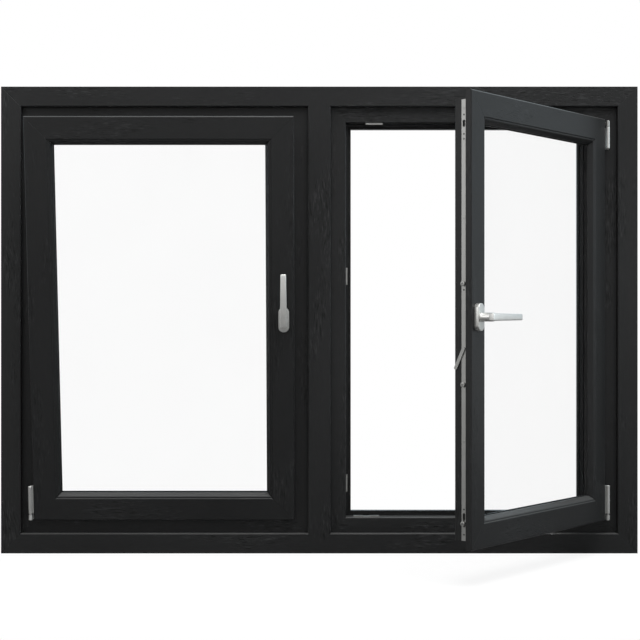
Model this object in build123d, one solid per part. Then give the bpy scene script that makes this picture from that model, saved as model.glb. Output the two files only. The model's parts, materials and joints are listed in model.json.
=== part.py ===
"""Double casement window: a two-light frame, its left sash tilted in and its right sash turned open.

Millimetres. X runs to the right seen from the room, Y towards the outside, Z up. The origin is the
middle of the sill's underside. Each sash piece is built shut in the left light, mirrored for the
right light, and then moved to its resting pose.
"""

import os
from math import atan2, cos, degrees, hypot, radians, sin, sqrt

from build123d import *

# Outer frame and mullion
FRAME_WIDTH = 1500.0
FRAME_HEIGHT = 1100.0
FRAME_DEPTH = 72.0
BORDER = 47.0
MULLION_BAND = 54.0
BORDER_STEP = 18.0
SEAT = 36.0
UPSTAND = 12.0
FRAME_ROUND = 3.0
ANCHOR_WIDTH = 10.0
ANCHOR_DEPTH = 4.0
ANCHOR_SPREAD = 20.0
DRAIN_LENGTH = 30.0
DRAIN_WIDTH = 6.0
DRAIN_DEPTH = 12.0
DRAIN_HEIGHT = 22.0
DRAIN_FROM_MIDDLE = 190.0

# Sash profile, and its clearances in the frame
SASH_GAP = 31.0
SEAT_GAP = 7.0
LEG_GAP = 6.5
REBATE_CLEARANCE = 11.0
LIP = 14.0
FACE = 53.0
SASH_DEPTH = 50.0
SASH_ROUND = 3.0
OUTER_LEG = 56.0
OUTER_LEG_SLOPE = 4.5
GLASS_FLOOR = 49.0

# Glazing
GLASS_INSET = 23.0
PANE = 4.0
CAVITY = 10.0
PANE_EDGE = 52.0
SPACER_INSET = 2.0
SPACER_WIDTH = 6.0
GASKET = 3.0
GASKET_WIDTH = 6.0
BEAD_WIDTH = 11.0
BEAD_RECESS = 1.5
BEAD_FLAT = 3.5
BEAD_DROP = 11.0
BEAD_MITRE_GAP = 0.3

# Weather seals, each in a groove and a little proud of it
SEAL_WIDTH = 4.0
SEAL_DEPTH = 4.0
SEAL_PROUD = 0.8
SEAL_EDGE = 2.0

# Edge strips, cams and safety lever on the sash edge, with heights from the sash's foot or spindle
STRIP_WIDTH = 11.5
STRIP_THICK = 3.0
STRIP_SIDE_PLAY = 0.2
STRIP_FROM_LIP = 13.5
STRIP_END_GAP = 1.5
STRIP_CORNER_GAP = 4.0
LOWER_STRIP = 160.0
CAM_RADIUS = 5.0
CAM_PROUD = 6.0
LOW_CAM_RISE = 53.0
MID_CAM_DROP = 139.0
MID_CAM_RISE = 69.0
SLOT_FROM_END = 51.0
SLOT_LENGTH = 15.0
SLOT_WIDTH = 6.0
LEVER_PIVOT_DROP = 65.0
LEVER_REACH = 44.0
LEVER_WIDTH = 7.0
LEVER_THICK = 3.0
LEVER_LEAN = 25.0

# Strikers on the rebate floor
STRIKER_LENGTH = 40.0
STRIKER_DEPTH = 18.0
STRIKER_PLATE = 2.0
STRIKER_RIB = 4.0
STRIKER_RIB_WIDTH = 6.0
LOW_STRIKER_RISE = 85.0
MID_STRIKER_RISE = 98.0
HEAD_STRIKER_OUT = 103.0
TILT_STRIKER_OUT = 84.0
TILT_STRIKER_LENGTH = 61.0
TILT_STRIKER_NOTCH = 14.0

# Hinges: a vertical pin line beside the sash, with the tilt axis through the trunnion at its foot
HINGE_OUT = 7.0
HINGE_FORWARD = 3.0
TILT_RISE = 9.0
KNUCKLE_RADIUS = 4.5
KNUCKLE_RISE = 1.0
KNUCKLE_HEIGHT = 13.0
KNUCKLE_SEAM = 3.0
HINGE_COVER = 66.0
HINGE_PIN_RADIUS = 2.0
TRUNNION_LENGTH = 4.0
BARREL_CHAMFER = 1.0
FOOT_PLAY = 0.3
CUP_PLAY = 1.3
UPPER_DROP = 69.0
UPPER_KNUCKLE = 51.0
UPPER_SEAM = 1.0
EYE_HEIGHT = 14.0
EYE_PLAY = 0.05
HINGE_WEB = 5.0
BASE_PLATE_THICK = 3.0
BASE_PLATE_WIDTH = 9.0

# Stay arm over the sash top
STAY_THICK = 3.0
STAY_WIDTH = 16.0
STAY_LIFT = 3.0
STAY_STUD_OUT = 380.0
STAY_STUD_RADIUS = 2.5
STAY_STUD_HEIGHT = 9.5
STAY_COLLAR_RADIUS = 5.0
STAY_COLLAR_PLAY = 1.0
STAY_SLOT_PLAY = 0.8
STAY_BOW = 2.0
STAY_TAIL = 10.0
STAY_END_GAP = 3.0
CRANK_HEIGHT = 7.0
CRANK_PLAY = 2.0

# Handle
HANDLE_INSET = 24.0
SPINDLE_LIFT = 6.0
ROSE_WIDTH = 24.5
ROSE_HEIGHT = 57.5
ROSE_THICK = 10.0
ROSE_CHAMFER = 1.5
NECK_RADIUS = 8.5
NECK_LENGTH = 26.0
NECK_SHOULDER = 0.3
JOURNAL_RADIUS = 6.0
JOURNAL_PLAY = 0.05
JOURNAL_DEPTH = 6.0
GRIP_HEEL = 14.0
GRIP_LENGTH = 112.0
GRIP_ROOT = 16.0
GRIP_TIP = 14.2
GRIP_THICK = 12.0
GRIP_CHAMFER = 2.5

# Resting pose, in degrees
TILT = 8.6
TURN = 53.9
RIGHT_LEVER = 90.0

# Planes of the frame along Y
FRAME_FRONT = -FRAME_DEPTH / 2
FRAME_BACK = FRAME_DEPTH / 2
SEAT_PLANE = FRAME_FRONT + BORDER_STEP
LIP_BACK = SEAT_PLANE - SEAT_GAP
SASH_FRONT = LIP_BACK - LIP
SASH_BACK = SASH_FRONT + SASH_DEPTH
LEG_PLANE = SASH_BACK + LEG_GAP

# Planes of the glazing along Y
PANE_FRONT = SASH_FRONT + GLASS_INSET
CAVITY_FRONT = PANE_FRONT + PANE
CAVITY_BACK = CAVITY_FRONT + CAVITY
PANE_BACK = CAVITY_BACK + PANE
BEAD_BACK = PANE_FRONT - GASKET
OUTER_LEG_PLANE = PANE_BACK + GASKET

# Distances in from the outer edge of the frame, and from the edge of the sash
FLOOR_IN = BORDER + SEAT
LEG_IN = FLOOR_IN + UPSTAND
BODY_IN = SEAT - SASH_GAP + REBATE_CLEARANCE
BEAD_IN = FACE + BEAD_WIDTH

# The left light and the left sash when shut
LIGHT_LEFT = BORDER - FRAME_WIDTH / 2
LIGHT_RIGHT = -MULLION_BAND / 2
SASH_LEFT = LIGHT_LEFT + SASH_GAP
SASH_RIGHT = LIGHT_RIGHT - SASH_GAP
SASH_FOOT = BORDER + SASH_GAP
SASH_TOP = FRAME_HEIGHT - BORDER - SASH_GAP
SASH_RECT = (SASH_LEFT, SASH_FOOT, SASH_RIGHT, SASH_TOP)
FRAME_RECT = (-FRAME_WIDTH / 2, 0.0, FRAME_WIDTH / 2, FRAME_HEIGHT)
LIGHT_RECT = (LIGHT_LEFT, BORDER, LIGHT_RIGHT, FRAME_HEIGHT - BORDER)

# Body edges of the shut left sash, where the edge strips lie
BODY_RIGHT = SASH_RIGHT - BODY_IN
BODY_FOOT = SASH_FOOT + BODY_IN
BODY_TOP = SASH_TOP - BODY_IN
STRIP_MIDDLE = LIP_BACK + STRIP_FROM_LIP

# Hinge line of the left sash
HINGE_X = SASH_LEFT - HINGE_OUT
HINGE_Y = SASH_FRONT - HINGE_FORWARD
TILT_HEIGHT = SASH_FOOT + TILT_RISE
KNUCKLE_FOOT = SASH_FOOT + KNUCKLE_RISE
UPPER_FOOT = SASH_TOP - UPPER_DROP
TILT_AXIS = Axis((0, HINGE_Y, TILT_HEIGHT), (1, 0, 0))
TURN_AXIS = Axis((-HINGE_X, HINGE_Y, 0), (0, 0, 1))
STAY_AXIS = Axis((HINGE_X, HINGE_Y, 0), (0, 0, 1))

# Handle spindle of the left sash
SPINDLE_X = SASH_RIGHT - HANDLE_INSET
SPINDLE_Z = (SASH_FOOT + SASH_TOP) / 2 + SPINDLE_LIFT


def block(x, y, z):
    """A box between pairs of limits."""
    size = Box(x[1] - x[0], y[1] - y[0], z[1] - z[0])
    return Pos((x[0] + x[1]) / 2, (y[0] + y[1]) / 2, (z[0] + z[1]) / 2) * size


def post(x, y, z, radius):
    """An upright cylinder between two heights."""
    return Pos(x, y, (z[0] + z[1]) / 2) * Cylinder(radius, z[1] - z[0])


def barrel(z, end):
    """A hinge barrel on the pin line, chamfered at its foot (0) or top (-1)."""
    plain = post(HINGE_X, HINGE_Y, z, KNUCKLE_RADIUS)
    rims = plain.edges().filter_by(GeomType.CIRCLE).sort_by(Axis.Z)
    return chamfer(rims[end], BARREL_CHAMFER)


def together(shapes):
    """Several pieces that don't touch, as one shape."""
    return Compound([solid for shape in shapes for solid in shape.solids()])


def section(points, rounds):
    """A closed outline with some corners rounded, given as (corner, radius) pairs."""
    face = make_face(Polyline(*points, close=True))
    for corner, radius in rounds:
        at = [v for v in face.vertices() if hypot(v.X - corner[0], v.Y - corner[1]) < 1e-6]
        face = fillet(at, radius)
    return face


def mitred_bar(outline, side, rect, reach, gap=0.0):
    """One side of a mitred ring. The outline has its X inwards from the rect and its Y along Y."""
    left, foot, right, top = rect
    width = right - left
    height = top - foot
    planes = {
        "foot": (Plane((right, 0, foot), (0, 0, 1), (-1, 0, 0)), width),
        "top": (Plane((left, 0, top), (0, 0, -1), (1, 0, 0)), width),
        "left": (Plane((left, 0, foot), (1, 0, 0), (0, 0, 1)), height),
        "right": (Plane((right, 0, top), (-1, 0, 0), (0, 0, -1)), height),
    }
    plane, length = planes[side]
    bar = extrude(plane * outline, length)
    far = length - gap
    wedge = Polyline((reach, gap + reach), (0, gap), (0, far), (reach, far - reach), close=True)
    flat = Plane(plane.origin, plane.x_dir, -plane.y_dir)
    return bar & extrude(flat * make_face(wedge), 2 * FRAME_DEPTH, both=True)


def ring(rect, outer_in, inner_in, y):
    """A rectangular ring between two distances in from a rect."""
    left, foot, right, top = rect
    outer = block((left + outer_in, right - outer_in), y, (foot + outer_in, top - outer_in))
    hole = block((left + inner_in, right - inner_in), y, (foot + inner_in, top - inner_in))
    return outer - hole


def frame_outline():
    """Section of an outer frame bar, with anchor grooves on its outside."""
    anchors = []
    for middle in (ANCHOR_SPREAD, -ANCHOR_SPREAD):
        back = middle + ANCHOR_WIDTH / 2
        front = middle - ANCHOR_WIDTH / 2
        anchors += [(0, back), (ANCHOR_DEPTH, back), (ANCHOR_DEPTH, front), (0, front)]
    points = [(0, FRAME_FRONT), (BORDER, FRAME_FRONT), (BORDER, SEAT_PLANE), (FLOOR_IN, SEAT_PLANE)]
    points += [(FLOOR_IN, LEG_PLANE), (LEG_IN, LEG_PLANE), (LEG_IN, FRAME_BACK), (0, FRAME_BACK)] + anchors
    rounds = [((BORDER, FRAME_FRONT), FRAME_ROUND), ((FLOOR_IN, SEAT_PLANE), FRAME_ROUND)]
    return section(points, rounds + [((LEG_IN, FRAME_BACK), FRAME_ROUND)])


def mullion_outline():
    """Section of the mullion, with a seat and a leg on both sides."""
    band = MULLION_BAND / 2
    floor = band + SEAT
    leg = floor + UPSTAND
    half = [(band, FRAME_FRONT), (band, SEAT_PLANE), (floor, SEAT_PLANE), (floor, LEG_PLANE)]
    half += [(leg, LEG_PLANE), (leg, FRAME_BACK)]
    points = half + [(-x, y) for x, y in reversed(half)]
    rounds = []
    for sign in (1, -1):
        rounds += [((sign * band, FRAME_FRONT), FRAME_ROUND), ((sign * floor, SEAT_PLANE), FRAME_ROUND)]
        rounds += [((sign * leg, FRAME_BACK), FRAME_ROUND)]
    return section(points, rounds)


def sash_outline():
    """Section of a sash bar: lip, strip groove, outer leg and glass rebate."""
    strip_half = STRIP_WIDTH / 2 + STRIP_SIDE_PLAY
    strip_floor = BODY_IN + STRIP_THICK
    points = [(0, SASH_FRONT), (FACE, SASH_FRONT), (FACE, BEAD_BACK), (GLASS_FLOOR, BEAD_BACK)]
    points += [(GLASS_FLOOR, OUTER_LEG_PLANE), (OUTER_LEG, OUTER_LEG_PLANE)]
    points += [(OUTER_LEG, SASH_BACK - OUTER_LEG_SLOPE), (OUTER_LEG - OUTER_LEG_SLOPE, SASH_BACK)]
    points += [(BODY_IN, SASH_BACK), (BODY_IN, STRIP_MIDDLE + strip_half)]
    points += [(strip_floor, STRIP_MIDDLE + strip_half), (strip_floor, STRIP_MIDDLE - strip_half)]
    points += [(BODY_IN, STRIP_MIDDLE - strip_half), (BODY_IN, LIP_BACK)]
    groove_end = SEAL_EDGE + SEAL_WIDTH
    groove_floor = LIP_BACK - SEAL_DEPTH
    points += [(groove_end, LIP_BACK), (groove_end, groove_floor)]
    points += [(SEAL_EDGE, groove_floor), (SEAL_EDGE, LIP_BACK), (0, LIP_BACK)]
    rounds = [((0, SASH_FRONT), SASH_ROUND), ((FACE, SASH_FRONT), SASH_ROUND)]
    return section(points, rounds + [((BODY_IN, SASH_BACK), SASH_ROUND)])


def bead_outline():
    """Section of a glazing bead that slopes down to the glass."""
    front = SASH_FRONT + BEAD_RECESS
    crest = (FACE + BEAD_FLAT, front)
    nose = (BEAD_IN, front + BEAD_DROP)
    points = [(FACE, front), crest, nose, (BEAD_IN, BEAD_BACK), (FACE, BEAD_BACK)]
    return section(points, [(crest, 2 * SASH_ROUND), (nose, SASH_ROUND)])


def sash_frame():
    """The four welded bars of the left sash."""
    outline = sash_outline()
    names = {"top_rail": "top", "bottom_rail": "foot", "hinge_stile": "left", "lock_stile": "right"}
    return {name: mitred_bar(outline, side, SASH_RECT, OUTER_LEG) for name, side in names.items()}


def glazing():
    """Panes, spacer, gaskets, beads and weather seal of the left sash."""
    outline = bead_outline()
    sides = ("top", "foot", "left", "right")
    beads = [mitred_bar(outline, side, SASH_RECT, BEAD_IN, BEAD_MITRE_GAP) for side in sides]
    pane_x = (SASH_LEFT + PANE_EDGE, SASH_RIGHT - PANE_EDGE)
    pane_z = (SASH_FOOT + PANE_EDGE, SASH_TOP - PANE_EDGE)
    panes = [block(pane_x, y, pane_z) for y in ((PANE_FRONT, CAVITY_FRONT), (CAVITY_BACK, PANE_BACK))]
    spacer_in = PANE_EDGE + SPACER_INSET
    inner = ring(SASH_RECT, BEAD_IN - GASKET_WIDTH, BEAD_IN, (BEAD_BACK, PANE_FRONT))
    outer = ring(SASH_RECT, OUTER_LEG - GASKET_WIDTH, OUTER_LEG, (PANE_BACK, OUTER_LEG_PLANE))
    seal_y = (LIP_BACK - SEAL_DEPTH, LIP_BACK + SEAL_PROUD)
    return {
        "beads": together(beads),
        "glass": together(panes),
        "spacer": ring(SASH_RECT, spacer_in, spacer_in + SPACER_WIDTH, (CAVITY_FRONT, CAVITY_BACK)),
        "glazing_gaskets": together([inner, outer]),
        "sash_seal": ring(SASH_RECT, SEAL_EDGE, SEAL_EDGE + SEAL_WIDTH, seal_y),
    }


def edge_strips():
    """Lock strip with its cams and slots, top strip with the stay stud, and short lower strip."""
    strip_y = (STRIP_MIDDLE - STRIP_WIDTH / 2, STRIP_MIDDLE + STRIP_WIDTH / 2)
    lock_x = (BODY_RIGHT - STRIP_THICK, BODY_RIGHT)
    lock = block(lock_x, strip_y, (BODY_FOOT + STRIP_END_GAP, BODY_TOP - STRIP_END_GAP))
    for height in (BODY_FOOT + SLOT_FROM_END, BODY_TOP - SLOT_FROM_END):
        slot = Plane.YZ * Rot(0, 0, 90) * SlotOverall(SLOT_LENGTH, SLOT_WIDTH)
        lock -= Pos(BODY_RIGHT, STRIP_MIDDLE, height) * extrude(slot, 2 * STRIP_THICK, both=True)
    for height in (SASH_FOOT + LOW_CAM_RISE, SPINDLE_Z - MID_CAM_DROP, SPINDLE_Z + MID_CAM_RISE):
        cam = Rot(0, 90, 0) * Cylinder(CAM_RADIUS, STRIP_THICK + CAM_PROUD)
        lock += Pos(BODY_RIGHT + (CAM_PROUD - STRIP_THICK) / 2, STRIP_MIDDLE, height) * cam
    corner_x = lock_x[0] - STRIP_CORNER_GAP
    top_x = (SASH_LEFT + BODY_IN + STRIP_CORNER_GAP, corner_x)
    top = block(top_x, strip_y, (BODY_TOP - STRIP_THICK, BODY_TOP))
    stud_x = HINGE_X + STAY_STUD_OUT
    top += post(stud_x, STRIP_MIDDLE, (BODY_TOP, BODY_TOP + STAY_STUD_HEIGHT), STAY_STUD_RADIUS)
    collar_top = BODY_TOP + STAY_LIFT - STAY_COLLAR_PLAY
    top += post(stud_x, STRIP_MIDDLE, (BODY_TOP, collar_top), STAY_COLLAR_RADIUS)
    lower = block((corner_x - LOWER_STRIP, corner_x), strip_y, (BODY_FOOT, BODY_FOOT + STRIP_THICK))
    return together([lock, top, lower])


def safety_lever():
    """Sprung lever on the lock strip, leaning out across the sash edge."""
    shape = extrude(SlotCenterPoint((0, 0), (LEVER_REACH / 2, 0), LEVER_WIDTH), LEVER_THICK)
    height = SPINDLE_Z - LEVER_PIVOT_DROP
    flat = Plane((BODY_RIGHT, STRIP_MIDDLE, height - LEVER_REACH / 2), (0, 0, -1), (1, 0, 0))
    pivot = Axis((BODY_RIGHT, STRIP_MIDDLE, height), (1, 0, 0))
    return (flat * shape).rotate(pivot, LEVER_LEAN)


def base_plate(foot, height):
    """Plate on the seat that carries a bearing, with the web out to the pin line."""
    plate_x = (HINGE_X - BASE_PLATE_WIDTH / 2, HINGE_X + BASE_PLATE_WIDTH / 2)
    plate_y = (SEAT_PLANE - BASE_PLATE_THICK, SEAT_PLANE)
    plate = block(plate_x, plate_y, (foot, foot + height))
    web_x = (HINGE_X - HINGE_WEB / 2, HINGE_X + HINGE_WEB / 2)
    return plate + block(web_x, (HINGE_Y, SEAT_PLANE), (foot, foot + height))


def lower_bearing():
    """Frame side of the lower hinge: a knuckle with a cup for the trunnion of the sash's pin."""
    top = KNUCKLE_FOOT + KNUCKLE_HEIGHT
    knuckle = base_plate(KNUCKLE_FOOT, KNUCKLE_HEIGHT) + barrel((KNUCKLE_FOOT, top), 0)
    cup_floor = TILT_HEIGHT - HINGE_PIN_RADIUS - FOOT_PLAY
    return knuckle - post(HINGE_X, HINGE_Y, (cup_floor, top + KNUCKLE_SEAM), HINGE_PIN_RADIUS + CUP_PLAY)


def lower_hinge():
    """Sash side of the lower hinge: the cover, its web to the lip, and the pin with its trunnion foot."""
    foot = KNUCKLE_FOOT + KNUCKLE_HEIGHT + KNUCKLE_SEAM
    cover_z = (foot, foot + HINGE_COVER)
    web_y = (SASH_FRONT, SASH_FRONT + 2 * SASH_ROUND)
    cover = barrel(cover_z, -1)
    cover += block((HINGE_X, SASH_LEFT), web_y, cover_z)
    cover += post(HINGE_X, HINGE_Y, (TILT_HEIGHT, foot), HINGE_PIN_RADIUS)
    trunnion = Rot(0, 90, 0) * Cylinder(HINGE_PIN_RADIUS, TRUNNION_LENGTH)
    return cover + Pos(HINGE_X, HINGE_Y, TILT_HEIGHT) * trunnion


def upper_bearing():
    """Frame side of the upper hinge: a knuckle with the pin for the stay's eye."""
    knuckle_top = UPPER_FOOT + UPPER_KNUCKLE
    bearing = base_plate(UPPER_FOOT, UPPER_KNUCKLE)
    bearing += barrel((UPPER_FOOT, knuckle_top), 0)
    pin_top = knuckle_top + UPPER_SEAM + EYE_HEIGHT
    return bearing + post(HINGE_X, HINGE_Y, (knuckle_top, pin_top), HINGE_PIN_RADIUS)


def stay_arm():
    """Stay of the shut left sash: eye on the hinge pin, crank behind the lip, and slotted arm."""
    eye_foot = UPPER_FOOT + UPPER_KNUCKLE + UPPER_SEAM
    arm_z = (BODY_TOP + STAY_LIFT, BODY_TOP + STAY_LIFT + STAY_THICK)
    crank_z = (arm_z[0], arm_z[0] + CRANK_HEIGHT)
    crank_y = (LIP_BACK + CRANK_PLAY, SEAT_PLANE - CRANK_PLAY)
    bend = LIGHT_LEFT + SEAT + STAY_END_GAP
    arm_y = (STRIP_MIDDLE - STAY_WIDTH / 2, STRIP_MIDDLE + STAY_WIDTH / 2)
    arm_end = HINGE_X + stay_stud_slide() + STAY_TAIL
    arm = barrel((eye_foot, eye_foot + EYE_HEIGHT), -1)
    arm += block((HINGE_X - HINGE_WEB / 2, HINGE_X + HINGE_WEB / 2), (HINGE_Y, crank_y[1]), crank_z)
    arm += block((HINGE_X, bend + STAY_WIDTH), crank_y, crank_z)
    arm += block((bend, bend + STAY_WIDTH), (crank_y[0], arm_y[1]), arm_z)
    arm += block((bend, arm_end), arm_y, arm_z)
    arm -= post(HINGE_X, HINGE_Y, (eye_foot, eye_foot + EYE_HEIGHT), HINGE_PIN_RADIUS + EYE_PLAY)
    near = HINGE_X + STAY_STUD_OUT
    far = HINGE_X + stay_stud_slide()
    reach = STAY_STUD_RADIUS + STAY_SLOT_PLAY
    slot_y = (STRIP_MIDDLE - reach - STAY_BOW, STRIP_MIDDLE + reach)
    return arm - block((near - reach - STAY_BOW, far + reach), slot_y, arm_z)


def stay_stud_at_rest():
    """Where the stud of the tilted sash stands from the stay's pin, along X and towards the room."""
    up = BODY_TOP + STAY_LIFT - TILT_HEIGHT
    back = STRIP_MIDDLE - HINGE_Y
    return STAY_STUD_OUT, up * sin(radians(TILT)) - back * cos(radians(TILT))


def stay_stud_slide():
    """How far along the arm the stud has slid when the sash is tilted."""
    out, forward = stay_stud_at_rest()
    return sqrt(out**2 + forward**2 - (STRIP_MIDDLE - HINGE_Y) ** 2)


def stay_swing():
    """Angle by which the stay has swung out when the sash is tilted."""
    out, forward = stay_stud_at_rest()
    return degrees(atan2(STRIP_MIDDLE - HINGE_Y, stay_stud_slide()) + atan2(forward, out))


def handle_rose():
    """Stadium-shaped rose on the lock stile, bored for the lever's journal."""
    front = Plane((SPINDLE_X, SASH_FRONT, SPINDLE_Z), (0, 0, 1), (0, -1, 0))
    rose = extrude(front * SlotOverall(ROSE_HEIGHT, ROSE_WIDTH), ROSE_THICK)
    rose = chamfer(rose.faces().sort_by(Axis.Y)[0].edges(), ROSE_CHAMFER)
    bore = front.offset(ROSE_THICK - JOURNAL_DEPTH) * Circle(JOURNAL_RADIUS + JOURNAL_PLAY)
    return rose - extrude(bore, JOURNAL_DEPTH)


def handle_lever():
    """Lever pointing up: journal in the rose, round neck, and a grip that narrows towards its tip."""
    rose_front = SASH_FRONT - ROSE_THICK
    front = Plane((SPINDLE_X, rose_front, SPINDLE_Z), (1, 0, 0), (0, -1, 0))
    grip_back = NECK_SHOULDER + NECK_LENGTH
    neck = extrude(front.offset(NECK_SHOULDER) * Circle(NECK_RADIUS), NECK_LENGTH + GRIP_CHAMFER)
    root = GRIP_ROOT / 2
    tip = GRIP_TIP / 2
    corners = [(-root, -GRIP_HEEL), (root, -GRIP_HEEL), (tip, GRIP_LENGTH), (-tip, GRIP_LENGTH)]
    grip = extrude(front.offset(grip_back) * make_face(Polyline(*corners, close=True)), GRIP_THICK)
    grip = chamfer(grip.edges(), GRIP_CHAMFER)
    journal_sunk = JOURNAL_DEPTH - NECK_SHOULDER
    journal = extrude(front.offset(-journal_sunk) * Circle(JOURNAL_RADIUS), JOURNAL_DEPTH)
    return grip + neck + journal


def striker_on(plane, length):
    """A striker on a rebate floor: plate with a rib at its room side. Plane X runs along the bar."""
    front = STRIKER_DEPTH / 2 - STRIKER_RIB_WIDTH / 2
    plate = extrude(plane * Rectangle(length, STRIKER_DEPTH), STRIKER_PLATE)
    return plate + extrude(plane * Pos(0, -front) * Rectangle(length, STRIKER_RIB_WIDTH), STRIKER_RIB)


def strikers():
    """Strikers round the left light: two on the mullion, one on the head and one on the sill."""
    y = SEAT_PLANE + FRAME_ROUND + STRIKER_DEPTH / 2
    floor_x = LIGHT_RIGHT - SEAT
    floor_z = BORDER + SEAT
    found = []
    for height in (SASH_FOOT + LOW_STRIKER_RISE, SPINDLE_Z + MID_STRIKER_RISE):
        found.append(striker_on(Plane((floor_x, y, height), (0, 0, -1), (-1, 0, 0)), STRIKER_LENGTH))
    head_floor = Plane((LIGHT_RIGHT - HEAD_STRIKER_OUT, y, FRAME_HEIGHT - floor_z), (-1, 0, 0), (0, 0, -1))
    found.append(striker_on(head_floor, STRIKER_LENGTH))
    sill_floor = Plane((LIGHT_RIGHT - TILT_STRIKER_OUT, y, floor_z), (1, 0, 0), (0, 0, 1))
    notch = extrude(sill_floor * Rectangle(TILT_STRIKER_NOTCH, STRIKER_DEPTH), STRIKER_RIB)
    notch_above = Pos(0, 0, STRIKER_PLATE) * notch
    found.append(striker_on(sill_floor, TILT_STRIKER_LENGTH) - notch_above)
    return together(found)


def drains():
    """Drain slots in the outside face of the sill, two under each light."""
    outside = Plane((0, FRAME_BACK, DRAIN_HEIGHT), (1, 0, 0), (0, -1, 0))
    middle = (LIGHT_LEFT + LIGHT_RIGHT) / 2
    slots = []
    for side in (1, -1):
        for offset in (-DRAIN_FROM_MIDDLE, DRAIN_FROM_MIDDLE):
            mouth = outside * Pos(side * middle + offset, 0) * Rectangle(DRAIN_LENGTH, DRAIN_WIDTH)
            slots.append(extrude(mouth, DRAIN_DEPTH))
    return together(slots)


def outer_frame():
    """Mitred head, sill and jambs, with the mullion's pointed ends welded into vees in the head and sill."""
    outline = frame_outline()
    sides = {"head": "top", "sill": "foot", "left_jamb": "left", "right_jamb": "right"}
    bars = {f"frame_{name}": mitred_bar(outline, side, FRAME_RECT, LEG_IN) for name, side in sides.items()}
    foot = BORDER - MULLION_BAND / 2
    top = FRAME_HEIGHT - foot
    corners = [(0, foot), (LEG_IN, foot + LEG_IN), (LEG_IN, top - LEG_IN), (0, top)]
    corners += [(-LEG_IN, top - LEG_IN), (-LEG_IN, foot + LEG_IN)]
    pointed = extrude(Plane.XZ * make_face(Polyline(*corners, close=True)), FRAME_DEPTH, both=True)
    bars["frame_head"] -= pointed
    bars["frame_sill"] -= pointed
    bars["frame_sill"] -= drains()
    bars["frame_mullion"] = extrude(Plane.XY * mullion_outline(), FRAME_HEIGHT) & pointed
    seal_in = SEAT + UPSTAND - SEAL_EDGE - SEAL_WIDTH
    seal = ring(LIGHT_RECT, seal_in, seal_in + SEAL_WIDTH, (LEG_PLANE - SEAL_PROUD, LEG_PLANE + SEAL_DEPTH))
    seals = together([seal, mirror(seal, Plane.YZ)])
    bars = {name: bar - seals for name, bar in bars.items()}
    bars["frame_seals"] = seals
    return bars


def window():
    """Every piece of the window in its resting pose, by name."""
    pieces = outer_frame()
    fixed = {"strikers": strikers(), "lower_bearing": lower_bearing(), "upper_bearing": upper_bearing()}
    for name, shape in fixed.items():
        pieces["left_" + name] = shape
        pieces["right_" + name] = mirror(shape, Plane.YZ)
    sash = {**sash_frame(), **glazing(), "edge_strips": edge_strips(), "safety_lever": safety_lever()}
    sash.update({"lower_hinge": lower_hinge(), "handle_rose": handle_rose(), "handle_lever": handle_lever()})
    arm = stay_arm()
    for name, shape in sash.items():
        pieces["left_" + name] = shape.rotate(TILT_AXIS, TILT)
        shut = mirror(shape, Plane.YZ)
        if name == "handle_lever":
            shut = shut.rotate(Axis((-SPINDLE_X, 0, SPINDLE_Z), (0, 1, 0)), RIGHT_LEVER)
        pieces["right_" + name] = shut.rotate(TURN_AXIS, TURN)
    pieces["left_stay_arm"] = arm.rotate(STAY_AXIS, -stay_swing())
    pieces["right_stay_arm"] = mirror(arm, Plane.YZ).rotate(TURN_AXIS, TURN)
    return pieces


os.makedirs("parts", exist_ok=True)
for piece_name, piece in window().items():
    export_step(piece, f"parts/{piece_name}.step")
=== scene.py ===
"""Looks of the double casement window: foil, glass and metal finishes, fastenings, handles and studio."""

import json
from math import pi, radians

import bmesh
import bpy
from mathutils import Matrix, Vector


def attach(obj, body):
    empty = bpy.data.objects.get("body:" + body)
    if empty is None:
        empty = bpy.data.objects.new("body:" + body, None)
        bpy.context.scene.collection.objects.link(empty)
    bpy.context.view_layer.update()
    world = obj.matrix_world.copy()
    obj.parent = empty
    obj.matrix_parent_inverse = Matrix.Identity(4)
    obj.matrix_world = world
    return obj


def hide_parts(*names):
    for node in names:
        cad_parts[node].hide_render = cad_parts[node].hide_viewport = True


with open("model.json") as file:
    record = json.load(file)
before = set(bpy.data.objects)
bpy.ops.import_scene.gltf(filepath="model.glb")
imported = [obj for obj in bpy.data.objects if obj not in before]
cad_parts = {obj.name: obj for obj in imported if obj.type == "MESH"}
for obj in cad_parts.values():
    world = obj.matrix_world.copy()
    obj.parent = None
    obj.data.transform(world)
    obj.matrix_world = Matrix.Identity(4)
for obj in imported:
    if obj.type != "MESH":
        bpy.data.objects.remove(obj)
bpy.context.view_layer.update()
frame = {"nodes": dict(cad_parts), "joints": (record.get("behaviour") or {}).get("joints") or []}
nodes = frame["nodes"]
joints = {joint["name"]: joint for joint in frame["joints"]}

MM = 0.001

# Frame and shut left sash, in millimetres, as the solids have them
FRAME_CENTRE = (0.0, 0.0, 550.0)
FRAME_HALF = (750.0, 550.0)
FRAME_HEIGHT = 1100.0
MULLION_HALF = 27.0
SEAT_WIDTH = 36.0
SASH_CENTRE = (-365.0, 0.0, 550.0)
SASH_HALF = (307.0, 472.0)
SASH_FRONT = -39.0
BEAD_IN = 64.0
PANE_FRONT = -16.0

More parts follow.
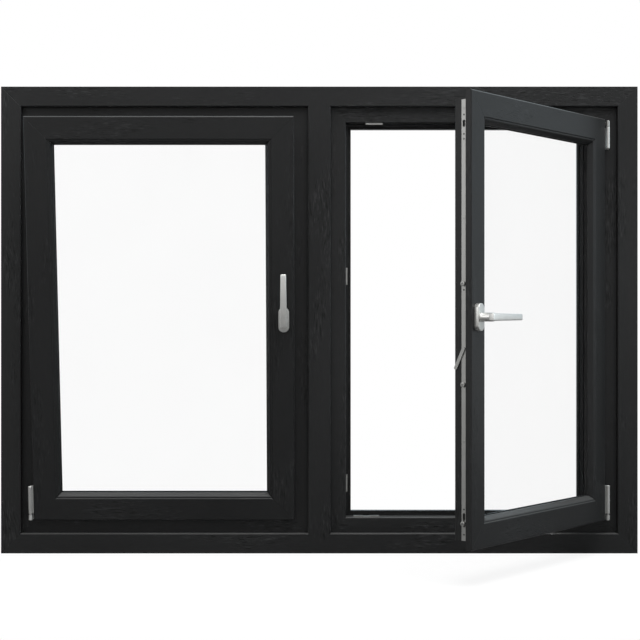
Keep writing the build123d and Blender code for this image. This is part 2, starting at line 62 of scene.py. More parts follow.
# Lock strip, cams and strikers
STRIP_FACE = -74.0
STRIP_MIDDLE = -11.5
STRIP_TOP = 1006.0
CAM_PROUD = 6.0
CAM_HEIGHTS = (131.0, 417.0, 625.0)
STRIP_SCREWS = (300.0, 760.0, 986.0)
STRIP_HOLES = (108.0, 125.0, 137.0, 160.0, 612.0, 923.0, 933.0, 973.0)
TOP_SCREWS = (-620.0, -470.0, -220.0, -110.0)
STRIKER_FLOOR = 83.0
STRIKER_MIDDLE = -3.0
STRIKER_PLATE = 2.0
STRIKER_HEIGHTS = (163.0, 654.0)
STRIKER_SCREW_OUT = 12.0
HEAD_STRIKER_X = -130.0
TILT_STRIKER_X = -111.0
TILT_SCREW_OUT = 19.0

# Handle
SPINDLE_X = -82.0
SPINDLE_Z = 556.0
ROSE_WIDTH = 24.5
ROSE_HEIGHT = 57.5
ROSE_THICK = 10.0
ROSE_SOFTENING = 1.3
ROSE_SIDES = 48
NECK_RADIUS = 9.2
NECK_SHOULDER = 0.3
NECK_SIDES = 40
NECK_GROOVE = 0.7
GROOVE_SHARE = 0.90
GROOVE_EDGES = (0.86, 0.90, 0.94)
GRIP_FRONT = -87.2
GRIP_THICK = 12.0
GRIP_ROOT = 15.6
GRIP_TIP = 12.8
GRIP_HEEL = 12.0
GRIP_LENGTH = 110.0
GRIP_SOFTENING = 2.2
GRIP_BENDS = 9
GRIP_BEND = 1.3

# Fastenings. The cross recess is given in shares of the screw's radius and crown.
SCREW_RADIUS = 2.6
SCREW_CROWN = 0.5
SCREW_SOFTENING = 0.225
CROSS_LENGTH = 1.25
CROSS_WIDTH = 0.28
CROSS_DEPTH = 1.2
HOLE_RADIUS = 1.7
HOLE_RECESS = 1.1
HOLE_SIDES = 16
CAM_CAP_RADIUS = 4.7
CAM_CAP_RECESS = 2.1
CAM_CAP_SIDES = 6
CAP_SOFTENING = 0.2
FASTENER_SIDES = 24

# Rubber lip that runs round each pane, against the beads
LIP_PROUD = 1.6
LIP_DEPTH = 7.0
LIP_OFF_PANE = 0.05
LIP_SOFTENING = 0.5

# Modelling: a turn that brings Z towards the room, how square a face must look, and a near miss in metres
TO_ROOM = (pi / 2, 0.0, 0.0)
SQUARE_ON = 0.9
TOUCH = 0.0001

# Foil: noise per metre along a bar, through its depth and across it, then the grain's depths and colours
SWAY_SCALE = (9.0, 9.0, 20.0)
GRAIN_SCALE = (46.0, 340.0, 340.0)
FINE_SCALE = (120.0, 900.0, 900.0)
PATCH_SCALE = (5.0, 9.0, 18.0)
SWAY = 0.020
FRAME_GRAIN = 0.60
SASH_GRAIN = 0.40
FOIL_DARK = (0.0065, 0.0066, 0.0067)
FOIL_PALE = (0.0350, 0.0358, 0.0364)
# Colour that faces looking up are lightened towards: partly dust, partly a painted highlight of the light
# from above
FOIL_DUST_AND_HIGHLIGHT = (0.078, 0.079, 0.078)

# Satin metals: mean tone, metallic share and roughness, then the brush marks per metre on X, Y and Z
SILVER_SATIN = (0.66, 0.80, 0.36)
ROSE_SATIN = (0.54, 0.80, 0.36)
# The hinge covers are one satin silver; the right ones are set darker than the left as painted shade, for how
# the light falls on each side
LIT_AND_SHADED_COVER_SATIN = {"left": (0.56, 0.80, 0.38), "right": (0.46, 0.80, 0.38)}
STEEL_SATIN = (0.31, 0.90, 0.42)
# The strikers are a darker copy of the zinc steel: painted shade, for strikers that sit in the shadow of the
# head and the rebates
SHADED_STRIKER_SATIN = (0.26, 1.0, 0.45)
SATIN_LOW = (0.86, 0.86, 0.83)
SATIN_HIGH = (1.14, 1.14, 1.11)
LEVER_BRUSH = {"left": (900, 900, 60), "right": (60, 900, 900)}
UPRIGHT_BRUSH = (900, 900, 40)

# Camera, as the photograph was taken
CAMERA_PLACE = (0.0016, -3.806, 0.55)
LENS = 90.0

# Light: strengths of the surroundings and the floor, then each lamp's place, size, power and colour
FILL = 0.22
ROOM = 0.70
CEILING = 0.60
MIRRORED_TINT = (0.74, 0.91, 1.0)
FLOOR_SIZE = 40.0
FLOOR_SHADE = 0.25
FLOOR_LIFT = 0.10
FLOOR_MIRRORED_NEAR = 0.15
FLOOR_MIRRORED_FAR = 0.85
WHITE = (1.0, 1.0, 1.0)
LAMP_TARGET = (0.0, 0.0, 0.55)
LAMPS = {
    "top_lamp": ((0.5, -1.5, 3.3), 2.4, 95.0, WHITE),
    "side_lamp": ((3.4, -1.2, 1.3), 1.8, 26.0, (0.80, 0.93, 1.0)),
    "fill_lamp": ((-2.8, -2.6, 1.6), 1.8, 20.0, WHITE),
}


class Wire:
    """One shader output. Arithmetic on it adds Math nodes to the finish that it belongs to."""

    def __init__(self, finish, socket):
        self.finish = finish
        self.socket = socket

    def math(self, operation, *terms):
        settings = {"operation": operation}
        return self.finish.add("ShaderNodeMath", settings, dict(enumerate(terms))).out()

    def __add__(self, other):
        return self.math("ADD", self, other)

    def __radd__(self, other):
        return self.math("ADD", other, self)

    def __sub__(self, other):
        return self.math("SUBTRACT", self, other)

    def __rsub__(self, other):
        return self.math("SUBTRACT", other, self)

    def __mul__(self, other):
        return self.math("MULTIPLY", self, other)

    def __rmul__(self, other):
        return self.math("MULTIPLY", other, self)

    def __lt__(self, other):
        return self.math("LESS_THAN", self, other)

    def __abs__(self):
        return self.math("ABSOLUTE", self)


class Part:
    """A node of a finish, with its outputs by name."""

    def __init__(self, finish, node):
        self.finish = finish
        self.node = node

    def out(self, name=None):
        """The named output, or else the first one in use."""
        if name is None:
            socket = next(one for one in self.node.outputs if one.enabled)
        else:
            socket = self.node.outputs[name]
        return Wire(self.finish, socket)


class Finish:
    """A node tree in the making, with one way to add a node of any type."""

    def __init__(self, tree):
        self.tree = tree
        self.tree.nodes.clear()

    def add(self, kind, settings=None, sockets=None):
        """Adds a node of any type, with its settings and its inputs by place or name."""
        node = self.tree.nodes.new(kind)
        for name, value in (settings or {}).items():
            setattr(node, name, value)
        for key, value in (sockets or {}).items():
            self.plug(node, key, value)
        return Part(self, node)

    def plug(self, node, key, value):
        """Links a wire to an input, or sets the input to a plain value."""
        if isinstance(key, int):
            socket = node.inputs[key]
        else:
            socket = next(one for one in node.inputs if key in (one.identifier, one.name))
        if isinstance(value, Wire):
            self.tree.links.new(value.socket, socket)
        else:
            socket.default_value = value

    def place(self, name="Object"):
        """One kind of texture coordinates."""
        return self.add("ShaderNodeTexCoord").out(name)

    def split(self, vector):
        """The X, Y and Z of a vector."""
        parts = self.add("ShaderNodeSeparateXYZ", None, {"Vector": vector})
        return parts.out("X"), parts.out("Y"), parts.out("Z")

    def stretched(self, x, y, z, scale):
        """A vector of three wires, each times its own scale."""
        sockets = {0: x * scale[0], 1: y * scale[1], 2: z * scale[2]}
        return self.add("ShaderNodeCombineXYZ", None, sockets).out()

    def noise(self, vector, scale, detail=2.0, roughness=0.5):
        sockets = {"Vector": vector, "Scale": scale, "Detail": detail, "Roughness": roughness}
        return self.add("ShaderNodeTexNoise", None, sockets).out()

    def step(self, value, low, high):
        """A smooth rise from 0 at the low value to 1 at the high one."""
        settings = {"interpolation_type": "SMOOTHSTEP"}
        return self.add("ShaderNodeMapRange", settings, {"Value": value, 1: low, 2: high}).out()

    def blend(self, share, colour, over):
        """A colour or wire of colour, covered by a plain colour to a share."""
        settings = {"data_type": "RGBA"}
        sockets = {"Factor_Float": share, "A_Color": colour, "B_Color": (*over, 1.0)}
        return self.add("ShaderNodeMix", settings, sockets).out()

    def tint(self, share, low, high):
        """A colour between two plain colours."""
        return self.blend(share, (*low, 1.0), high)

    def bump(self, height, distance, strength):
        sockets = {"Height": height, "Distance": distance, "Strength": strength}
        return self.add("ShaderNodeBump", None, sockets).out()

    def surface(self, sockets):
        """Closes a material with one Principled shader."""
        shader = self.add("ShaderNodeBsdfPrincipled", None, sockets).out()
        self.add("ShaderNodeOutputMaterial", None, {"Surface": shader})


def new_finish(name):
    """A material and the finish that fills it."""
    material = bpy.data.materials.new(name)
    material.use_nodes = True
    return material, Finish(material.node_tree)


def swing(joint_name):
    """Turn from a shut sash to its resting pose, from the joint's own axis and shut limit."""
    joint = joints[joint_name]
    pivot = Matrix.Translation(joint["pos_m"])
    turn = Matrix.Rotation(radians(-joint["range_deg"][0]), 4, Vector(joint["axis"]))
    return pivot @ turn @ pivot.inverted()


MIRROR = Matrix.Scale(-1.0, 4, (1.0, 0.0, 0.0))
LEFT_REST = swing("left_sash_tilt")
RIGHT_REST = swing("right_sash_turn") @ MIRROR
RESTS = {"left": LEFT_REST, "right": RIGHT_REST}


def shut_place(finish, rest, centre):
    """Object coordinates brought back to the shut sash and counted from its centre, in metres."""
    back = rest.inverted()
    middle = Vector(centre) * MM
    # The Mapping node can't mirror, so a mirrored rest is counted from the right sash's own centre
    if back.determinant() < 0.0:
        back = MIRROR @ back
        middle = MIRROR @ middle
    sockets = {"Vector": finish.place(), "Location": back.translation - middle, "Rotation": back.to_euler()}
    return finish.add("ShaderNodeMapping", None, sockets).out()


def foil(name, rest, centre, half, run, depth):
    """Dark foil pressed to a depth with a wood grain along each bar, with a fine weld line at each mitre, and
    faces that look up lightened, partly as dust and partly as a painted highlight.
    """
    material, finish = new_finish(name)
    place = shut_place(finish, rest, centre)
    x, y, z = finish.split(place)
    from_side = half[0] * MM - abs(x)
    from_end = half[1] * MM - abs(z)
    if run == "level":
        along, across = x, z
    elif run == "upright":
        along, across = z, x
    else:
        level = from_end < from_side
        along = x * level + z * (1.0 - level)
        across = z * level + x * (1.0 - level)
    sway = finish.noise(finish.stretched(along, y, across, SWAY_SCALE), 1.0, 1.0)
    bent = across + (sway - 0.5) * SWAY
    grain = finish.noise(finish.stretched(along, y, bent, GRAIN_SCALE), 1.0, 2.0, 0.5)
    fine = finish.noise(finish.stretched(along, y, bent, FINE_SCALE), 1.0, 2.0, 0.6)
    patch = finish.step(finish.noise(finish.stretched(along, y, across, PATCH_SCALE), 1.0, 1.5), 0.50, 0.66)
    # The right half of the head is figured all over
    if run == "level":
        figured = finish.step(x, 0.10, 0.40) * finish.step(z, 0.40, 0.50)
        patch = patch + figured * (1.0 - patch)
    figure = (0.10 + patch * 0.90) * depth
    pore = finish.step(grain, 0.57, 0.64) * figure
    ridge = finish.step(grain, 0.43, 0.36) * figure
    seam = 1.0 - finish.step(abs(from_side - from_end), 0.0003, 0.0009)
    cloud = finish.noise(place, 2.3, 2.0)
    tone = 0.30 + ridge * 0.80 - pore * 0.60 + (cloud - 0.5) * 0.3 + (fine - 0.5) * 0.16 - seam * 0.2
    height = grain * figure + fine * 0.2 - pore * 0.6 - seam * 0.4
    # Painted highlight: faces that look up are lightened, partly as dust and partly standing in for the light
    # from above
    facing_up = finish.split(finish.place("Normal"))[2]
    dust = finish.step(facing_up, 0.10, 0.80) * (0.55 + cloud * 0.9)
    bare = finish.tint(tone, FOIL_DARK, FOIL_PALE)
    finish.surface({
        "Base Color": finish.blend(dust * 0.8, bare, FOIL_DUST_AND_HIGHLIGHT),
        "Roughness": 0.33 + (fine - 0.5) * 0.16 + pore * 0.14 - ridge * 0.06,
        "Specular IOR Level": 0.16,
        "Normal": finish.bump(height, 0.0010, 0.8),
    })
    return material


def satin(name, rest, metal, stretch):
    """Satin metal of one mean tone, brushed one way, with faint handling marks."""
    material, finish = new_finish(name)
    tone, metallic, roughness = metal
    place = shut_place(finish, rest, SASH_CENTRE)
    brush = finish.noise(finish.stretched(*finish.split(place), stretch), 1.0, 3.0, 0.6)
    marks = finish.noise(place, 55.0, 3.0, 0.6)
    share = 0.5 + (brush - 0.5) * 0.8 + (marks - 0.5) * 0.6
    low = [part * tone for part in SATIN_LOW]
    high = [part * tone for part in SATIN_HIGH]
    finish.surface({
        "Base Color": finish.tint(share, low, high),
        "Metallic": metallic,
        "Roughness": roughness + (brush - 0.5) * 0.18 + (marks - 0.5) * 0.10,
        "Normal": finish.bump(brush, 0.0001, 0.25),
    })
    return material


def rubber():
    """Black sealing rubber, dusted a little grey."""
    material, finish = new_finish("seal_rubber")
    place = finish.place()
    dust = finish.noise(place, 38.0, 4.0, 0.65)
    skin = finish.noise(place, 900.0, 2.0)
    dusted = finish.step(dust, 0.35, 0.8)
    finish.surface({
        "Base Color": finish.tint(dusted, (0.0035, 0.0035, 0.0036), (0.0120, 0.0120, 0.0118)),
        "Roughness": 0.62 + (dust - 0.5) * 0.25,
        "Specular IOR Level": 0.2,
        "Normal": finish.bump(skin, 0.0001, 0.3),
    })
    return material


def spacer_bar():
    """Dull dark bar between the panes, faintly mottled. It also darkens the hole rims, as painted shade
    inside the strip's holes.
    """
    material, finish = new_finish("spacer_bar")
    mottle = finish.noise(finish.place(), 160.0, 3.0, 0.6)
    finish.surface({
        "Base Color": finish.tint(mottle, (0.003, 0.003, 0.003), (0.009, 0.009, 0.010)),
        "Roughness": 0.48 + (mottle - 0.5) * 0.2,
        "Specular IOR Level": 0.15,
        "Normal": finish.bump(mottle, 0.0002, 0.3),
    })
    return material


def clear_glass():
    """Clear float glass with the faintest cool tint and a trace of wiping marks."""
    material, finish = new_finish("clear_glass")
    wipes = finish.noise(finish.place(), 6.0, 4.0, 0.7)
    glance = finish.add("ShaderNodeLayerWeight", None, {"Blend": 0.3}).out("Facing")
    finish.surface({
        "Base Color": finish.tint(wipes, (0.030, 0.045, 0.042), (0.060, 0.080, 0.076)),
        "Roughness": 0.02 + finish.step(wipes, 0.35, 0.8) * 0.05,
        "Alpha": 0.008 + glance * glance * 0.06 + wipes * 0.008,
    })
    return material


FOIL_LEVEL = foil("frame_foil_level", Matrix(), FRAME_CENTRE, FRAME_HALF, "level", FRAME_GRAIN)
FOIL_UPRIGHT = foil("frame_foil_upright", Matrix(), FRAME_CENTRE, FRAME_HALF, "upright", FRAME_GRAIN)
SASH_FOIL = {}
SILVER = {}
ROSE = {}
COVER = {}
STEEL = {}
for side, rest in RESTS.items():
    SASH_FOIL[side] = foil(f"{side}_sash_foil", rest, SASH_CENTRE, SASH_HALF, "round", SASH_GRAIN)
    SILVER[side] = satin(f"{side}_satin_silver", rest, SILVER_SATIN, LEVER_BRUSH[side])
    ROSE[side] = satin(f"{side}_rose_silver", rest, ROSE_SATIN, UPRIGHT_BRUSH)
    # Hinge covers: lit and shaded copies of one silver, their tone set per side as painted light and shade
    COVER[side] = satin(f"{side}_hinge_silver_shaded_per_side", rest, LIT_AND_SHADED_COVER_SATIN[side], UPRIGHT_BRUSH)
    STEEL[side] = satin(f"{side}_zinc_steel", rest, STEEL_SATIN, UPRIGHT_BRUSH)
# Strikers and their screws: steel darkened as painted shade
STRIKER = satin("striker_zinc_shaded", Matrix(), SHADED_STRIKER_SATIN, UPRIGHT_BRUSH)
RUBBER = rubber()
SPACER = spacer_bar()
GLASS = clear_glass()


def dress(node, material):
    """Gives every slot of a solid the finish."""
    slots = nodes[node].material_slots
    for slot in slots:
        slot.material = material
    if not slots:
        nodes[node].data.materials.append(material)


def dress_solids():
    """Finishes for all the solids of the frame and the two sashes."""
    for node in ("frame_head", "frame_sill"):
        dress(node, FOIL_LEVEL)
    for node in ("frame_left_jamb", "frame_right_jamb", "frame_mullion"):
        dress(node, FOIL_UPRIGHT)
    dress("frame_seals", RUBBER)
    for side in RESTS:
        for bar in ("top_rail", "bottom_rail", "hinge_stile", "lock_stile", "beads"):
            dress(f"{side}_{bar}", SASH_FOIL[side])
        for seal in ("glazing_gaskets", "sash_seal"):
            dress(f"{side}_{seal}", RUBBER)
        for fitting in ("edge_strips", "safety_lever", "stay_arm"):
            dress(f"{side}_{fitting}", STEEL[side])
        for fitting in ("lower_bearing", "upper_bearing", "lower_hinge"):
            dress(f"{side}_{fitting}", COVER[side])
        dress(f"{side}_handle_rose", ROSE[side])
        dress(f"{side}_handle_lever", SILVER[side])
        dress(f"{side}_strikers", STRIKER)
        dress(f"{side}_glass", GLASS)
        dress(f"{side}_spacer", SPACER)


def clear_selection():
    bpy.ops.object.select_all(action="DESELECT")


def choose(piece):
    """Makes a piece the only selected object and the active one."""
    clear_selection()
    piece.select_set(True)
    bpy.context.view_layer.objects.active = piece


def begin(name, primitive, **how):
    """Adds a primitive as the only selected object."""
    clear_selection()
    primitive(**how)
    piece = bpy.context.active_object
    piece.name = name
    return piece


def edit(piece):
    bpy.context.view_layer.objects.active = piece
    bpy.ops.object.mode_set(mode="EDIT")


def leave_edit():
    bpy.ops.object.mode_set(mode="OBJECT")


def pick_all():
    bpy.ops.mesh.select_all(action="SELECT")


def pick_faces(piece, test):
    """Selects, in edit mode, only the faces that pass the test."""
    bpy.ops.mesh.select_mode(type="FACE")
    bpy.ops.mesh.select_all(action="DESELECT")
    mesh = bmesh.from_edit_mesh(piece.data)
    for face in mesh.faces:
        face.select_set(test(face))
    bmesh.update_edit_mesh(piece.data)


def pick_points(piece, test):
    """Selects, in edit mode, only the points that pass the test."""
    bpy.ops.mesh.select_mode(type="VERT")
    bpy.ops.mesh.select_all(action="DESELECT")
    mesh = bmesh.from_edit_mesh(piece.data)
    for point in mesh.verts:
        point.select_set(test(point.co))
    mesh.select_flush_mode()
    bmesh.update_edit_mesh(piece.data)


def apply_place(piece):
    """Puts the object's place into its mesh, so that the object sits at the origin."""
    choose(piece)
    bpy.ops.object.transform_apply(location=True, rotation=True, scale=True)


def smooth(piece, angle=35.0):
    """Shades a piece smooth across edges flatter than the angle."""
    choose(piece)
    bpy.ops.object.shade_smooth_by_angle(angle=radians(angle))


def cut_away(piece, cutter):
    """Takes the cutter's form out of a piece and removes the cutter."""
    apply_place(cutter)
    cut = piece.modifiers.new("cut", "BOOLEAN")
    cut.operation = "DIFFERENCE"
    cut.object = cutter
    choose(piece)
    bpy.ops.object.modifier_apply(modifier="cut")
    bpy.data.objects.remove(cutter)


def copy_of(piece, name, place):
    """A copy with its own mesh, set at a place. A mirrored copy has its faces turned out again."""
    twin = piece.copy()
    twin.data = piece.data.copy()
    twin.name = name
    bpy.context.scene.collection.objects.link(twin)
    twin.matrix_world = place
    apply_place(twin)
    if place.determinant() < 0.0:
        edit(twin)
        pick_all()
        bpy.ops.mesh.normals_make_consistent(inside=False)
        leave_edit()
    return twin


def settle(piece, body, material):
    """Gives a finished piece its material, body and slot."""
    piece.data.materials.clear()
    piece.data.materials.append(material)
    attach(piece, body)


def disc(name, radius, softening):
    """Low round disc along Z, half sunk at the origin, with its upper rim softened."""
    how = {"vertices": FASTENER_SIDES, "radius": radius * MM, "depth": 2 * SCREW_CROWN * MM}
    piece = begin(name, bpy.ops.mesh.primitive_cylinder_add, **how)
    edit(piece)
    pick_faces(piece, lambda face: face.normal.z > SQUARE_ON)
    bpy.ops.mesh.bevel(offset=softening * MM, segments=2)
    leave_edit()
    return piece


def screw(radius):
    """Low screw head with a cross recess."""
    head = disc("screw", radius, SCREW_SOFTENING)
    how = {"size": 1.0, "location": (0.0, 0.0, SCREW_CROWN * MM)}
    for turned in (0.0, pi / 2):
        cutter = begin("cutter", bpy.ops.mesh.primitive_cube_add, rotation=(0.0, 0.0, turned), **how)
        cutter.scale = (CROSS_LENGTH * radius * MM, CROSS_WIDTH * radius * MM, CROSS_DEPTH * SCREW_CROWN * MM)
        cut_away(head, cutter)
    smooth(head)
    return head


def cap(name, radius, recess, sides):
    """Low round cap with a sunk centre of the given number of sides."""
    piece = disc(name, radius, CAP_SOFTENING)
    how = {"vertices": sides, "radius": recess * MM, "depth": 2 * SCREW_CROWN * MM}
    crown = (0.0, 0.0, SCREW_CROWN * MM)
    cut_away(piece, begin("cutter", bpy.ops.mesh.primitive_cylinder_add, location=crown, **how))
    smooth(piece)
    return piece


def facing(x, y, z, out):
    """Place at a point in millimetres with the piece's own Z along the given direction."""
    turn = Vector(out).to_track_quat("Z", "Y").to_matrix().to_4x4()
    return Matrix.Translation(Vector((x, y, z)) * MM) @ turn


def striker_spots():
    """Places of the screws in the left light's strikers: on the mullion, the head and the sill."""
    plate = STRIKER_FLOOR + STRIKER_PLATE
    wall = -MULLION_HALF - SEAT_WIDTH - STRIKER_PLATE
    out = (-STRIKER_SCREW_OUT, STRIKER_SCREW_OUT)
    tilt_out = (-TILT_SCREW_OUT, TILT_SCREW_OUT)
    spots = []
    for height in STRIKER_HEIGHTS:
        spots += [facing(wall, STRIKER_MIDDLE, height + step, (-1, 0, 0)) for step in out]
    head = FRAME_HEIGHT - plate
    spots += [facing(HEAD_STRIKER_X + step, STRIKER_MIDDLE, head, (0, 0, -1)) for step in out]
    spots += [facing(TILT_STRIKER_X + step, STRIKER_MIDDLE, plate, (0, 0, 1)) for step in tilt_out]
    return spots


def on_strip(heights, proud=0.0):
    """Places on the lock strip of the shut left sash."""
    return [facing(STRIP_FACE + proud, STRIP_MIDDLE, height, (1, 0, 0)) for height in heights]


def fastenings():
    """Screws, cam caps and hole rims of both sashes, and the screws of the strikers."""
    small = screw(SCREW_RADIUS)
    cam_cap = cap("cam_cap", CAM_CAP_RADIUS, CAM_CAP_RECESS, CAM_CAP_SIDES)
    rim = cap("hole_shade_rim", HOLE_RADIUS, HOLE_RECESS, HOLE_SIDES)
    top = [facing(across, STRIP_MIDDLE, STRIP_TOP, (0, 0, 1)) for across in TOP_SCREWS]
    rows = [
        ("strip_screw", small, on_strip(STRIP_SCREWS)),
        ("strip_hole_shade", rim, on_strip(STRIP_HOLES)),
        ("cam_cap", cam_cap, on_strip(CAM_HEIGHTS, CAM_PROUD)),
        ("top_screw", small, top),
    ]
    for name, model, places in rows:
        for count, place in enumerate(places, 1):
            for side, rest in RESTS.items():
                # The hole rims take the dark spacer finish: painted shade inside the strip's holes
                look = SPACER if model is rim else STEEL[side]
                piece = copy_of(model, f"{side}_{name}_{count}", rest @ place)
                settle(piece, f"{side}_sash", look)
    for count, place in enumerate(striker_spots(), 1):
        settle(copy_of(small, f"left_striker_screw_{count}", place), "frame", STRIKER)
        settle(copy_of(small, f"right_striker_screw_{count}", MIRROR @ place), "frame", STRIKER)
    for model in (small, cam_cap, rim):
        bpy.data.objects.remove(model)


def glazing_lips():
    """Black rubber lips between the panes and the beads, seen from the room."""
    width = 2 * (SASH_HALF[0] - BEAD_IN) * MM
    height = 2 * (SASH_HALF[1] - BEAD_IN) * MM
    middle = Vector((SASH_CENTRE[0], PANE_FRONT - LIP_OFF_PANE, SASH_CENTRE[2])) * MM
    lip = begin("lip", bpy.ops.mesh.primitive_plane_add, size=1.0, location=middle, rotation=TO_ROOM)
    lip.scale = (width, height, 1.0)
    apply_place(lip)
    edit(lip)
    pick_all()
    bpy.ops.mesh.inset(thickness=LIP_PROUD * MM)
    pick_faces(lip, lambda face: (face.calc_center_median() - middle).length < LIP_PROUD * MM)
    bpy.ops.mesh.delete(type="FACE")
    pick_all()
    bpy.ops.mesh.normals_make_consistent(inside=False)
    leave_edit()
    wall = lip.modifiers.new("wall", "SOLIDIFY")
    wall.thickness = LIP_DEPTH * MM
    wall.offset = 1.0
    bpy.ops.object.modifier_apply(modifier="wall")
    soft = lip.modifiers.new("soft", "BEVEL")
    soft.width = LIP_SOFTENING * MM
    soft.segments = 2
    bpy.ops.object.modifier_apply(modifier="soft")
    smooth(lip)
    for side, rest in RESTS.items():
        settle(copy_of(lip, f"{side}_glazing_lip", rest), f"{side}_sash", RUBBER)
    bpy.data.objects.remove(lip)


def round_bar(name, middle, radius, length, sides):
    """Round bar along the spindle, from its middle in metres and its sizes in millimetres."""
    how = {"vertices": sides, "radius": radius * MM, "depth": length * MM}
    piece = begin(name, bpy.ops.mesh.primitive_cylinder_add, location=middle, rotation=TO_ROOM, **how)
    apply_place(piece)
    return piece


def rose():
    """Stadium-shaped rose of the shut left sash, with a softened rim."""
    middle = Vector((SPINDLE_X, SASH_FRONT - ROSE_THICK / 2, SPINDLE_Z)) * MM
    piece = round_bar("rose", middle, ROSE_WIDTH / 2, ROSE_THICK, ROSE_SIDES)
    edit(piece)
    stretch = (ROSE_HEIGHT - ROSE_WIDTH) / 2 * MM
    for way in (1.0, -1.0):
        pick_points(piece, lambda spot: (spot.z - SPINDLE_Z * MM) * way > TOUCH)
        bpy.ops.transform.translate(value=(0.0, 0.0, way * stretch))
    pick_faces(piece, lambda face: face.normal.y < -SQUARE_ON)
    bpy.ops.mesh.bevel(offset=ROSE_SOFTENING * MM, segments=4)
    leave_edit()
    smooth(piece)
    return piece


def neck():
    """Round neck of the shut left lever, with a fine groove where it leaves the rose."""
    back = SASH_FRONT - ROSE_THICK - NECK_SHOULDER
    front = GRIP_FRONT + GRIP_THICK - GRIP_SOFTENING
    middle = Vector((SPINDLE_X, (back + front) / 2, SPINDLE_Z)) * MM
    piece = round_bar("neck", middle, NECK_RADIUS, back - front, NECK_SIDES)
    edit(piece)
    for share in GROOVE_EDGES:
        spot = Vector((SPINDLE_X, front + (back - front) * share, SPINDLE_Z)) * MM
        pick_all()
        bpy.ops.mesh.bisect(plane_co=spot, plane_no=(0, 1, 0))
    groove = (front + (back - front) * GROOVE_SHARE) * MM
    pick_points(piece, lambda spot: abs(spot.y - groove) < TOUCH)
    shrink = 1.0 - NECK_GROOVE / NECK_RADIUS
    bpy.ops.transform.resize(value=(shrink, 1.0, shrink), center_override=middle)
    leave_edit()
    smooth(piece, 25.0)
    return piece


def lever():
    """Lever of the shut left sash, pointing up: round neck, and a soft-edged grip bowed along its length."""
    shaft = neck()
    length = GRIP_LENGTH + GRIP_HEEL
    centre_z = SPINDLE_Z + (GRIP_LENGTH - GRIP_HEEL) / 2
    middle = Vector((SPINDLE_X, GRIP_FRONT + GRIP_THICK / 2, centre_z)) * MM
    grip = begin("lever", bpy.ops.mesh.primitive_cube_add, size=1.0, location=middle)
    grip.scale = (GRIP_ROOT * MM, GRIP_THICK * MM, length * MM)
    apply_place(grip)
    edit(grip)
    pick_points(grip, lambda spot: spot.z > middle.z)
    bpy.ops.transform.resize(value=(GRIP_TIP / GRIP_ROOT, 1.0, 1.0), center_override=middle)
    pick_all()
    bpy.ops.mesh.bevel(offset=GRIP_SOFTENING * MM, segments=5)
    for way in (1.0, -1.0):
        for count in range(GRIP_BENDS // 2 + 1):
            height = middle.z + way * (count + 0.5) * length * MM / (GRIP_BENDS + 1)
            spot = Vector((middle.x, middle.y, height))
            pick_all()
            bpy.ops.mesh.bisect(plane_co=spot, plane_no=(0, 0, 1))
            pick_points(grip, lambda point: (point.z - height) * way > TOUCH)
            bpy.ops.transform.rotate(value=radians(way * GRIP_BEND), orient_axis="X", center_override=spot)
    leave_edit()
    smooth(grip)
    choose(grip)
    shaft.select_set(True)
    bpy.ops.object.join()
    return grip


def handles():
    """Roses and levers of both sashes. The left lever stands up and the right one lies level."""
    rose_model = rose()
    lever_model = lever()
    spindle = Matrix.Translation(Vector((SPINDLE_X, 0.0, SPINDLE_Z)) * MM)
    level = spindle @ Matrix.Rotation(radians(-90.0), 4, "Y") @ spindle.inverted()
    rests = {"left": (LEFT_REST, LEFT_REST), "right": (RIGHT_REST, RIGHT_REST @ level)}
    for side, (rose_rest, lever_rest) in rests.items():
        plate = copy_of(rose_model, f"{side}_rose_cover", rose_rest)
        settle(plate, f"{side}_sash", ROSE[side])
        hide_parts(f"{side}_handle_rose")
        grip = copy_of(lever_model, f"{side}_lever_grip", lever_rest)
        settle(grip, f"{side}_handle", SILVER[side])
        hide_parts(f"{side}_handle_lever")
    bpy.data.objects.remove(rose_model)
    bpy.data.objects.remove(lever_model)


def lamp(name, place, size, power, colour):
    """Square soft lamp aimed at the middle of the window."""
    data = bpy.data.lights.new(name, "AREA")
    data.size = size
    data.energy = power
    data.color = colour
    unit = bpy.data.objects.new(name, data)
    bpy.context.scene.collection.objects.link(unit)
    unit.location = place
    unit.rotation_euler = (Vector(LAMP_TARGET) - Vector(place)).to_track_quat("-Z", "Y").to_euler()


def looking(finish):
    """Two wires: one where the eye or the glass looks, and one where a reflection looks."""
    path = finish.add("ShaderNodeLightPath")
    straight = 1.0 - (1.0 - path.out("Is Camera Ray")) * (1.0 - path.out("Is Transmission Ray"))
    return straight, path.out("Is Glossy Ray") * (1.0 - straight)


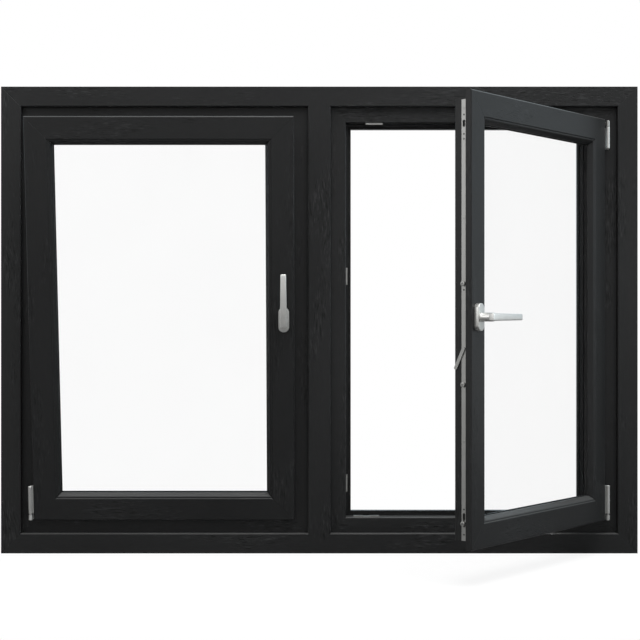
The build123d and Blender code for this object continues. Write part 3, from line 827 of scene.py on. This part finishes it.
def surroundings():
    """White backdrop behind the window, a dimmer room in front of it and a bright ceiling."""
    world = bpy.data.worlds.new("white_studio")
    world.use_nodes = True
    bpy.context.scene.world = world
    sky = Finish(world.node_tree)
    straight, mirrored = looking(sky)
    heading = sky.split(sky.place("Generated"))
    backdrop = sky.step(heading[1], -0.15, 0.90)
    ceiling = sky.step(heading[2], -0.10, 0.90)
    room = ROOM + ceiling * CEILING
    image = room + backdrop * (1.0 - room)
    fill = FILL + ceiling * FILL
    strength = straight + mirrored * image + (1.0 - straight - mirrored) * fill
    colour = sky.tint(mirrored * backdrop, WHITE, MIRRORED_TINT)
    backing = sky.add("ShaderNodeBackground", None, {"Color": colour, "Strength": strength}).out()
    sky.add("ShaderNodeOutputWorld", None, {"Surface": backing})


def floor():
    """Pale floor that melts into the backdrop and keeps the window's soft shadow near it."""
    ground = begin("floor", bpy.ops.mesh.primitive_plane_add, size=FLOOR_SIZE)
    material, finish = new_finish("pale_floor")
    straight, mirrored = looking(finish)
    oval = {0: finish.place(), 1: (0.6, 1.0, 0.0)}
    spot = finish.add("ShaderNodeVectorMath", {"operation": "MULTIPLY"}, oval).out()
    away = finish.add("ShaderNodeVectorMath", {"operation": "LENGTH"}, {0: spot}).out("Value")
    near = 1.0 - finish.step(away, 0.6, 1.1)
    reach = FLOOR_MIRRORED_NEAR + finish.step(away, 0.8, 6.0) * (FLOOR_MIRRORED_FAR - FLOOR_MIRRORED_NEAR)
    level = straight * (1.0 + near * FLOOR_LIFT) + mirrored * reach
    matt = finish.add("ShaderNodeBsdfDiffuse", None, {"Color": (0.8, 0.8, 0.8, 1.0)}).out()
    glow = finish.add("ShaderNodeEmission", None, {"Color": (*WHITE, 1.0), "Strength": level}).out()
    share = straight * (1.0 - near * FLOOR_SHADE) + mirrored
    mixed = finish.add("ShaderNodeMixShader", None, {0: share, 1: matt, 2: glow}).out()
    finish.add("ShaderNodeOutputMaterial", None, {"Surface": mixed})
    ground.data.materials.append(material)


def studio():
    """Surroundings, floor, lamps and camera."""
    scene = bpy.context.scene
    scene.view_settings.view_transform = "Standard"
    surroundings()
    floor()
    for name, (place, size, power, colour) in LAMPS.items():
        lamp(name, place, size, power, colour)
    view = bpy.data.cameras.new("camera")
    view.lens = LENS
    camera = bpy.data.objects.new("camera", view)
    scene.collection.objects.link(camera)
    camera.location = CAMERA_PLACE
    camera.rotation_euler = TO_ROOM
    scene.camera = camera


studio()
dress_solids()
fastenings()
glazing_lips()
handles()
